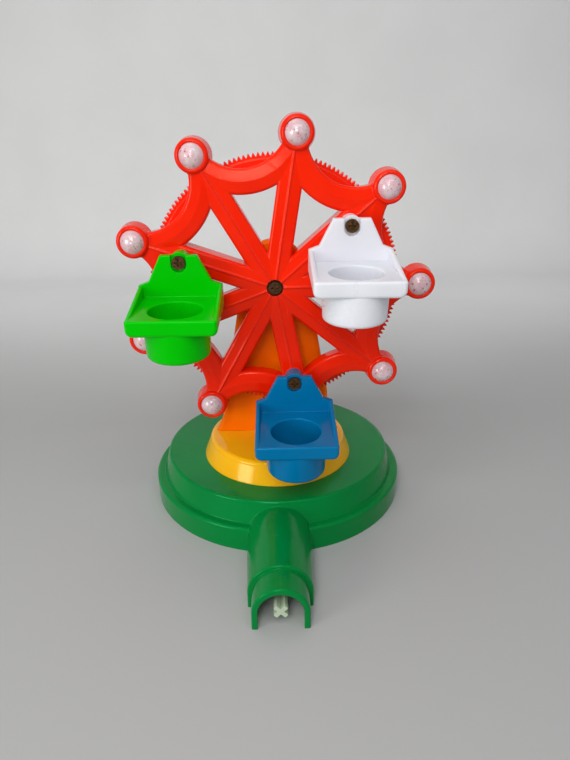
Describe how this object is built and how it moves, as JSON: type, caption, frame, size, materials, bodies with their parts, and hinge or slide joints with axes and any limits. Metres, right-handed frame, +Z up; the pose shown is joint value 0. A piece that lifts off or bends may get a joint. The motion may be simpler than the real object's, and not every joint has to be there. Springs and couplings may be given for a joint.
{
  "type": "toy ferris wheel",
  "caption": "Toy ferris wheel on a round base: a gear-driven spoked wheel with hanging bucket seats, a half-round tower and a front tunnel with a cross-shaped drive shaft.",
  "frame": {"origin": "centre of the round base on the surface that the toy stands on", "axes": "+X to the right of someone facing the wheel, +Y away from them along the wheel's axis, +Z up"},
  "size_m": [0.1325, 0.1615, 0.1706],
  "materials": {
    "base_plastic": "moulded, satin gloss",
    "cover_plastic": "moulded, dull",
    "screw_steel": "zinc plated, dull",
    "rusty_screw": "tarnished brown",
    "tower_plastic": "translucent amber, glossy",
    "plate_plastic": "moulded, dull",
    "shaft_plastic": "ivory, satin",
    "gear_plastic": "natural white",
    "collar_plastic": "moulded, dull",
    "steel_pin": "drawn steel",
    "wheel_plastic": "red-orange, glossy",
    "pearl_paint": "worn pearl paint",
    "seat_white_plastic": "glossy",
    "seat_blue_plastic": "glossy",
    "seat_green_plastic": "glossy"
  },
  "bodies": {
    "base": {"base_shell": "base_plastic", "base_cover": "cover_plastic", "cover_screws": "screw_steel", "foot_screws": "screw_steel", "tower_shell": "tower_plastic", "tower_front": "tower_plastic", "gear_plate": "plate_plastic", "plate_screws": "screw_steel", "back_screws": "screw_steel", "idler_pin": "steel_pin", "hub_washer": "rusty_screw", "hub_screw": "rusty_screw"},
    "wheel": {"wheel": "wheel_plastic", "bulb_domes": "pearl_paint", "ring_gear": "wheel_plastic", "ring_screws": "screw_steel", "seat_screws": "rusty_screw"},
    "pinion": {"pinion": "wheel_plastic", "pinion_shaft": "steel_pin", "shaft_gear": "gear_plastic"},
    "idler": {"idler_gear": "gear_plastic"},
    "drive": {"drive_shaft": "shaft_plastic", "drive_gear": "gear_plastic", "shaft_collars": "collar_plastic"},
    "seat_white": {"seat_white": "seat_white_plastic"},
    "seat_blue": {"seat_blue": "seat_blue_plastic"},
    "seat_green": {"seat_green": "seat_green_plastic"}
  },
  "joints": [
    {"name": "wheel_spin", "type": "hinge", "parent": "base", "child": "wheel", "pos_m": [0, 0, 0.10345], "axis": [0, 1, 0], "continuous": true},
    {"name": "pinion_spin", "type": "hinge", "parent": "base", "child": "pinion", "pos_m": [0, 0, 0.0422], "axis": [0, 1, 0], "continuous": true},
    {"name": "idler_spin", "type": "hinge", "parent": "base", "child": "idler", "pos_m": [0, 0, 0.0234], "axis": [0, 1, 0], "continuous": true},
    {"name": "drive_spin", "type": "hinge", "parent": "base", "child": "drive", "pos_m": [0, 0, 0.007], "axis": [0, 1, 0], "continuous": true},
    {"name": "seat_white_swing", "type": "hinge", "parent": "wheel", "child": "seat_white", "pos_m": [0.03019, -0.025, 0.12969], "axis": [0, 1, 0], "continuous": true},
    {"name": "seat_blue_swing", "type": "hinge", "parent": "wheel", "child": "seat_blue", "pos_m": [0.00763, -0.025, 0.06418], "axis": [0, 1, 0], "continuous": true},
    {"name": "seat_green_swing", "type": "hinge", "parent": "wheel", "child": "seat_green", "pos_m": [-0.03782, -0.025, 0.11647], "axis": [0, 1, 0], "continuous": true}
  ],
  "couplings": [
    {"joint": "pinion_spin", "follows": "wheel_spin", "ratio": -6},
    {"joint": "idler_spin", "follows": "wheel_spin", "ratio": 3.4},
    {"joint": "drive_spin", "follows": "wheel_spin", "ratio": -9.2727},
    {"joint": "seat_white_swing", "follows": "wheel_spin", "ratio": -1},
    {"joint": "seat_blue_swing", "follows": "wheel_spin", "ratio": -1},
    {"joint": "seat_green_swing", "follows": "wheel_spin", "ratio": -1}
  ]
}
